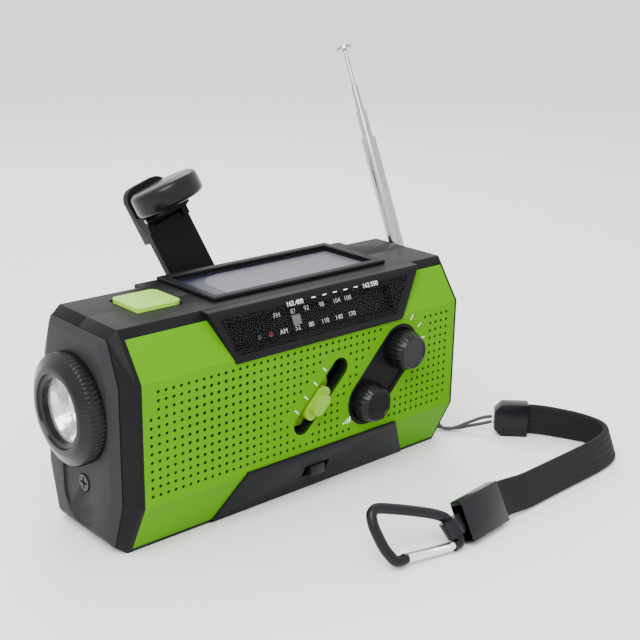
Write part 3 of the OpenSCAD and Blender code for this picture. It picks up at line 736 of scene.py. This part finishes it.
def cord_curve(name, points, radius):
    """A round cord as one open spline through points in millimetres."""
    data = bpy.data.curves.new(name, "CURVE")
    data.dimensions = "3D"
    data.bevel_depth = radius * MM
    data.bevel_resolution = 4
    data.use_fill_caps = True
    spline = data.splines.new("POLY")
    line = smooth_line(points, 5)
    spline.points.add(len(line) - 1)
    for point, place in zip(spline.points, line):
        point.co = (*(place * MM), 1)
    return data


class RADIO_OT_strap(bpy.types.Operator):
    """Builds the wrist strap: cord, clips, webbing, loop, hook and gate"""
    bl_idname = "radio.strap"
    bl_label = "Wrist strap"

    def execute(self, context):
        upper = softened("upper_clip", hook_black(), 0.5 * MM)
        lower = softened("lower_clip", hook_black(), 0.6 * MM)
        loop = softened("strap_loop", hook_black(), 0.3 * MM)
        cord = bpy.data.objects.new("strap_cord_look", cord_curve("strap_cord_look", CORD_ROUTE, 0.55))
        context.collection.objects.link(cord)
        cord.data.materials.append(cord_black())
        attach(cord, body_of_node("strap_cord"))
        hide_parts("strap_cord")
        line = web_line()
        form = swept(line, web_outline(sizes().web_ribs), 0.6 * MM)
        web = piece_from(
            form, "strap_webbing_look", body_of_node("strap_webbing"), webbing(),
            ["strap_webbing"], 60,
        )
        hook = self.hook()
        gate = self.gate()
        return {"FINISHED"}

    def hook(self):
        points = smooth_line(HOOK_ROUTE, 5)
        turn = HOOK.to_3x3()
        route = []
        for i, place in enumerate(points):
            ahead = points[min(i + 1, len(points) - 1)]
            behind = points[max(i - 1, 0)]
            heading = (ahead - behind).normalized()
            side = turn @ Vector((heading.y, -heading.x, 0))
            middle = HOOK @ (Vector((place.x, place.y, 0)) * MM)
            route.append((middle, side, turn @ Vector((0, 0, 1))))
        sides = 20
        radius = WIRE_RADIUS * MM
        angles = [k * math.tau / sides for k in range(sides)]
        circle = [(radius * math.cos(angle), radius * math.sin(angle)) for angle in angles]
        form = swept(route, circle)
        return piece_from(
            form, "carabiner_body_look", body_of_node("carabiner_body"), hook_black(),
            ["carabiner_body"], 60,
        )

    def gate(self):
        return softened("carabiner_gate", gate_silver(), 0.2 * MM)


# ---------------------------------------------------------------- casing and front panel

class RADIO_OT_casing(bpy.types.Operator):
    """Rounds the edges of the shells, the end cap, the trims and the door"""
    bl_idname = "radio.casing"
    bl_label = "Casing"

    def execute(self, context):
        for node in ("front_shell", "back_shell", "dial_housing", "lower_trim", "knob_well", "strap_anchor"):
            softened(node, casing_black())
        softened("end_cap", cap_grey())
        for node in ("battery_door", "port_flap"):
            softened(node, casing_black(), 0.25 * MM)
        return {"FINISHED"}


SLOT_LOW = Vector((-3.9, 24.2))
SLOT_HIGH = Vector((9.8, 37.8))
WELL_LOW = Vector((20.9, 25.2))
WELL_HIGH = Vector((33.8, 38.6))


def reach(point, low, high):
    """Distance from a point to a line between two points."""
    run = high - low
    t = max(0.0, min(1.0, (point - low).dot(run) / run.length_squared))
    return (point - low - run * t).length


def is_blank(x, z):
    """Where the face has no sound holes: the slot, its marks, the knobs and their marks."""
    point = Vector((x, z))
    run = (SLOT_HIGH - SLOT_LOW).normalized()
    along = (point - SLOT_LOW).dot(run)
    left = (point - SLOT_LOW).dot(Vector((-run.y, run.x)))
    beside_slot = 0 < left < 6.8 and -2.5 < along < 19.5
    tuning_marks = (point - WELL_HIGH).length < 12.7 and x > 35 and z > 30.5
    volume_marks = abs(x - 12.8) < 2 and 19 < z < 26
    near_slot = reach(point, SLOT_LOW, SLOT_HIGH) < 4.9
    near_well = reach(point, WELL_LOW, WELL_HIGH) < 9.5
    return near_slot or beside_slot or tuning_marks or volume_marks or near_well


def hole_places():
    """Sound holes of the face that do not go through."""
    pitch = sizes().hole_pitch / MM
    for i in range(-7, 40):
        for j in range(-6, 7):
            corner = (i == -7 and j <= -4) or (i == 39 and j == 6)
            through = (i - 3) ** 2 + j * j < 37
            x = (i - 16) * pitch
            z = 31.9 - j * pitch
            if not (corner or through or is_blank(x, z)):
                yield x, z


class RADIO_OT_front_panel(bpy.types.Operator):
    """Builds the green front panel with its sound holes and printed marks"""
    bl_idname = "radio.front_panel"
    bl_label = "Front panel"

    def execute(self, context):
        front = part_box("front_panel")[0].y
        form = bmesh.new()
        for x, z in hole_places():
            made = bmesh.ops.create_cone(
                form, cap_ends=True, segments=12, radius1=sizes().hole_radius,
                radius2=sizes().hole_radius, depth=1.2 * MM,
            )
            place = Matrix.Translation((x * MM, front, z * MM)) @ turned("X", 90)
            bmesh.ops.transform(form, matrix=place, verts=made["verts"])
        mesh = bpy.data.meshes.new("hole_cutter")
        form.to_mesh(mesh)
        form.free()
        cutter = bpy.data.objects.new("hole_cutter", mesh)
        context.collection.objects.link(cutter)
        panel = piece_from(
            merged_copy("front_panel"), "front_panel_look", body_of_node("front_panel"), panel_green(),
            ["front_panel"],
        )
        evaluated(panel, "BOOLEAN", operation="DIFFERENCE", object=cutter, solver="EXACT")
        bpy.data.objects.remove(cutter)
        bpy.data.meshes.remove(mesh)
        self.marks(front)
        return {"FINISHED"}

    def marks(self, front):
        form = bmesh.new()
        ink = sizes().print_height / MM
        face = front / MM
        run = (SLOT_HIGH - SLOT_LOW).normalized()
        left = Vector((-run.y, run.x))
        slope = math.degrees(math.atan2(run.y, run.x))
        for k in range(4):
            spot = SLOT_LOW + run * (1.5 + 4.8 * k) + left * 4.6
            turn = Matrix.Translation((spot.x * MM, 0, spot.y * MM)) @ turned("Y", -slope)
            block(form, (-0.15, face - ink, -0.9), (0.15, face, 0.9), turn)
        for k in range(5):
            angle = math.radians(-20 + 27 * k)
            spot = WELL_HIGH + Vector((math.cos(angle), math.sin(angle))) * 9.8
            turn = Matrix.Translation((spot.x * MM, 0, spot.y * MM)) @ turned("Y", -math.degrees(angle))
            block(form, (-0.9, face - ink, -0.15), (0.9, face, 0.15), turn)
        for k in range(4):
            tall = 0.5 + 0.45 * k
            block(form, (11.6 + 0.8 * k, face - ink, 20), (12 + 0.8 * k, face, 20 + tall))
        piece_from(
            form, "panel_marks", body_of_node("front_panel"), print_white(),
        )


class RADIO_OT_controls(bpy.types.Operator):
    """Finishes the knobs, the slider, the selector and the power button"""
    bl_idname = "radio.controls"
    bl_label = "Controls"

    def execute(self, context):
        self.knob("tuning_knob", 6)
        self.knob("volume_knob", 5)
        softened("band_slider", slider_green(), 0.3 * MM)
        softened("battery_selector", gloss_black(), 0.25 * MM)
        softened("power_button", button_lime(), 0.4 * MM)
        return {"FINISHED"}

    def knob(self, node, height):
        """Knob with a fluted side, on its shaft."""
        low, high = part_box(node)
        top = height + 0.5
        shaft = top - (high.y - low.y) / MM
        profile = [
            (0, shaft), (1.9, shaft), (1.9, 0), (5.9, 0), (6, 0.2), (6, height * 0.55), (5.6, height * 0.75),
            (4.9, height + 0.2), (4.6, top), (4.2, top), (4, top - 0.25), (0, top - 0.25),
        ]
        form = spun(profile, Vector((0, 0, 0)), Matrix.Identity(4), 96)
        for vert in form.verts:
            step = round(math.atan2(vert.co.y, vert.co.x) / math.tau * 96)
            if math.hypot(vert.co.x, vert.co.y) > 5.4 * MM and step % 4 in (1, 2):
                vert.co.x *= 0.95
                vert.co.y *= 0.95
        foot = Vector(((low.x + high.x) / 2, low.y + top * MM, (low.z + high.z) / 2))
        bmesh.ops.transform(form, matrix=Matrix.Translation(foot) @ turned("X", 90), verts=form.verts)
        piece_from(form, node + "_look", body_of_node(node), gloss_black(), [node])


# ---------------------------------------------------------------- dial

DIAL_FOOT = Vector((0, -19.9, 50.8)) * MM
BAND_FOOT = Vector((0, -18.2, 59.1)) * MM
DIAL_TURN = turned("X", math.degrees(math.atan2(6.6, 3.0)))
FM_ROW = (("FM", -9.6), ("87", -3.8), ("92", 1.0), ("98", 6.6), ("104", 12.3), ("108", 16.5))
AM_ROW = (("AM", -8.6), ("52", -3.6), ("80", 1.3), ("110", 6.4), ("140", 11.6), ("170", 16.6))
TOP_ROW = (("162.400", -4.0), ("162.550", 24.5))


def numbers(row, foot, up, height):
    """Generic scale numbers on the dial plate, as one list of meshes."""
    meshes = []
    for text, x in row:
        curve = bpy.data.curves.new("number", "FONT")
        curve.body = text
        curve.size = height * MM
        curve.align_x = "CENTER"
        curve.extrude = 0.01 * MM
        holder = bpy.data.objects.new("number", curve)
        bpy.context.collection.objects.link(holder)
        graph = bpy.context.evaluated_depsgraph_get()
        mesh = bpy.data.meshes.new_from_object(holder.evaluated_get(graph))
        place = Matrix.Translation(foot + Vector((x * MM, 0, 0)))
        mesh.transform(place @ DIAL_TURN @ Matrix.Translation((0, up * MM, 0.03 * MM)))
        bpy.data.objects.remove(holder)
        meshes.append(mesh)
    return meshes


class RADIO_OT_dial(bpy.types.Operator):
    """Finishes the dial: plate, numbers, pointer, lights and window"""
    bl_idname = "radio.dial"
    bl_label = "Dial"

    def execute(self, context):
        dress("dial_window", clear_window())
        back = bmesh.new()
        block(back, (-28, -0.6, -0.4), (34, 8.2, 0), Matrix.Translation(DIAL_FOOT) @ DIAL_TURN)
        round_edges(back, 0.1 * MM)
        piece_from(
            back, "dial_plate_look", body_of_node("dial_plate"), dial_black(),
            ["dial_plate"],
        )
        softened("dial_pointer", pointer_grey(), 0.1 * MM)
        dress("indicator_lights", led_red())
        form = bmesh.new()
        rows = numbers(FM_ROW, DIAL_FOOT, 5.3, 1.9) + numbers(AM_ROW, DIAL_FOOT, 0.6, 1.9)
        for mesh in rows + numbers(TOP_ROW, BAND_FOOT, -0.9, 1.9):
            form.from_mesh(mesh)
        for k in range(5):
            turn = Matrix.Translation(BAND_FOOT) @ DIAL_TURN
            x = 2.2 + 4.0 * k
            block(form, (x, -0.15, 0.02), (x + 1.4, 0.15, 0.05), turn)
        piece_from(
            form, "dial_numbers", body_of_node("dial_plate"), print_white(),
        )
        return {"FINISHED"}


# ---------------------------------------------------------------- top, ends and back

class RADIO_OT_solar(bpy.types.Operator):
    """Finishes the solar frame and its cell"""
    bl_idname = "radio.solar"
    bl_label = "Solar panel"

    def execute(self, context):
        softened("solar_frame", casing_black(), 0.3 * MM)
        dress("solar_cell", solar_face())
        return {"FINISHED"}


class RADIO_OT_torch(bpy.types.Operator):
    """Builds the torch: ribbed ring, reflector, lens and lamp"""
    bl_idname = "radio.torch"
    bl_label = "Torch"

    def execute(self, context):
        ribs = sizes().grip_ribs
        profile = [
            (11.3, -1), (11.3, 0.1), (14.6, 0.1), (15, 0.4), (15, 3.4), (14.5, 4.2), (11.8, 5.6), (11.4, 5.8),
            (10, 5.8), (9.7, 5.2), (8.7, 4.9), (8.7, 3.2), (10.2, 3.2), (10.2, -1), (11.3, -1),
        ]
        form = spun(profile, Vector((0, 0, 0)), Matrix.Identity(4), ribs * 4)
        for vert in form.verts:
            radius = math.hypot(vert.co.x, vert.co.y)
            turn = math.atan2(vert.co.y, vert.co.x) / math.tau * ribs * 4
            if radius > 14.8 * MM and round(turn) % 4 in (1, 2):
                vert.co.x *= 0.976
                vert.co.y *= 0.976
        place = Matrix.Translation(Vector((-61.8, 0, 37.6)) * MM) @ turned("Y", -90)
        bmesh.ops.transform(form, matrix=place, verts=form.verts)
        piece_from(
            form, "torch_ring_look", body_of_node("torch_ring"), gloss_black(),
            ["torch_ring"],
        )
        dress("torch_reflector", silvered())
        dress("torch_lens", clear_lens())
        dress("torch_led", led_warm())
        return {"FINISHED"}


class RADIO_OT_crank(bpy.types.Operator):
    """Finishes the folding crank and its knob"""
    bl_idname = "radio.crank"
    bl_label = "Crank"

    def execute(self, context):
        softened("crank_hub", casing_black(), 0.3 * MM)
        softened("crank_arm", casing_black(), 0.3 * MM)
        softened("knob_carrier", casing_black(), 0.2 * MM)
        softened("crank_knob", gloss_black(), 0.3 * MM)
        dress("arm_hinge_pin", steel())
        dress("carrier_pin", steel())
        return {"FINISHED"}


class RADIO_OT_antenna(bpy.types.Operator):
    """Finishes the telescopic antenna and its swivel"""
    bl_idname = "radio.antenna"
    bl_label = "Antenna"

    def execute(self, context):
        softened("antenna_mount", casing_black(), 0.3 * MM)
        dress("antenna_swivel", chrome())
        for node in ("antenna_tube_1", "antenna_tube_2", "antenna_tube_3", "antenna_rod"):
            dress(node, chrome())
        return {"FINISHED"}


class RADIO_OT_screws(bpy.types.Operator):
    """Finishes the screws"""
    bl_idname = "radio.screws"
    bl_label = "Screws"

    def execute(self, context):
        dress("end_cap_screw", screw_black())
        dress("case_screws", screw_black())
        return {"FINISHED"}


class RADIO_OT_inside(bpy.types.Operator):
    """Finishes the parts inside the casing"""
    bl_idname = "radio.inside"
    bl_label = "Inside parts"

    def execute(self, context):
        parts = (
            ("drive_gear", gear_white), ("generator", steel), ("generator_pinion", brass),
            ("circuit_board", board_green), ("speaker", cone_black), ("tuning_capacitor", cap_cream),
            ("volume_pot", steel), ("ferrite_antenna", ferrite), ("lithium_cell", cell_blue),
            ("aaa_cells", cell_gold), ("battery_contacts", steel), ("usb_sockets", steel),
        )
        for node, material in parts:
            dress(node, material())
        return {"FINISHED"}


# ---------------------------------------------------------------- stage and panel

def area_light(name, place, aim, size, power):
    data = bpy.data.lights.new(name, "AREA")
    data.shape = "DISK"
    data.size = size
    data.energy = power
    lamp = bpy.data.objects.new(name, data)
    lamp.location = place
    lamp.rotation_euler = (Vector(aim) - Vector(place)).to_track_quat("-Z", "Y").to_euler()
    bpy.context.collection.objects.link(lamp)


class RADIO_OT_stage(bpy.types.Operator):
    """Adds the pale floor and the soft studio light"""
    bl_idname = "radio.stage"
    bl_label = "Stage"

    def execute(self, context):
        light = context.scene.radio_light
        form = bmesh.new()
        bmesh.ops.create_grid(form, x_segments=2, y_segments=2, size=4.0)
        mesh = bpy.data.meshes.new("floor")
        form.to_mesh(mesh)
        form.free()
        mesh.materials.append(studio_floor())
        floor = bpy.data.objects.new("floor", mesh)
        context.collection.objects.link(floor)
        world = bpy.data.worlds.new("studio")
        world.use_nodes = True
        background = world.node_tree.nodes["Background"]
        background.inputs["Color"].default_value = (1, 1, 1, 1)
        background.inputs["Strength"].default_value = light.world
        context.scene.world = world
        area_light("key", (-0.35, -0.25, 0.55), (0, 0, 0.03), 0.5, light.key)
        area_light("rim", (0.25, 0.4, 0.5), (0, 0, 0.04), 0.4, light.rim)
        return {"FINISHED"}


OPERATORS = (
    RADIO_OT_camera, RADIO_OT_strap, RADIO_OT_casing, RADIO_OT_front_panel, RADIO_OT_controls,
    RADIO_OT_dial, RADIO_OT_solar, RADIO_OT_torch, RADIO_OT_crank, RADIO_OT_antenna, RADIO_OT_screws,
    RADIO_OT_inside, RADIO_OT_stage,
)


class RADIO_PT_build(bpy.types.Panel):
    """Lists the pieces, sizes and colours of the radio"""
    bl_idname = "RADIO_PT_build"
    bl_label = "Emergency Radio"
    bl_space_type = "VIEW_3D"
    bl_region_type = "UI"
    bl_category = "Radio"

    def draw(self, context):
        for group in (context.scene.radio_sizes, context.scene.radio_colours, context.scene.radio_light):
            for name in group.bl_rna.properties.keys():
                if name not in ("rna_type", "name"):
                    self.layout.prop(group, name)
        for operator in OPERATORS:
            self.layout.operator(operator.bl_idname)


CLASSES = (RadioColours, RadioSizes, RadioLight) + OPERATORS + (RADIO_PT_build,)


def register():
    for cls in CLASSES:
        bpy.utils.register_class(cls)
    bpy.types.Scene.radio_colours = PointerProperty(type=RadioColours)
    bpy.types.Scene.radio_sizes = PointerProperty(type=RadioSizes)
    bpy.types.Scene.radio_light = PointerProperty(type=RadioLight)


def unregister():
    del bpy.types.Scene.radio_light
    del bpy.types.Scene.radio_sizes
    del bpy.types.Scene.radio_colours
    for cls in reversed(CLASSES):
        bpy.utils.unregister_class(cls)


def main():
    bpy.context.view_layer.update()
    register()
    bpy.ops.radio.camera()
    bpy.ops.radio.strap()
    bpy.ops.radio.casing()
    bpy.ops.radio.front_panel()
    bpy.ops.radio.controls()
    bpy.ops.radio.dial()
    bpy.ops.radio.solar()
    bpy.ops.radio.torch()
    bpy.ops.radio.crank()
    bpy.ops.radio.antenna()
    bpy.ops.radio.screws()
    bpy.ops.radio.inside()
    bpy.ops.radio.stage()


if __name__ == "__main__":
    main()
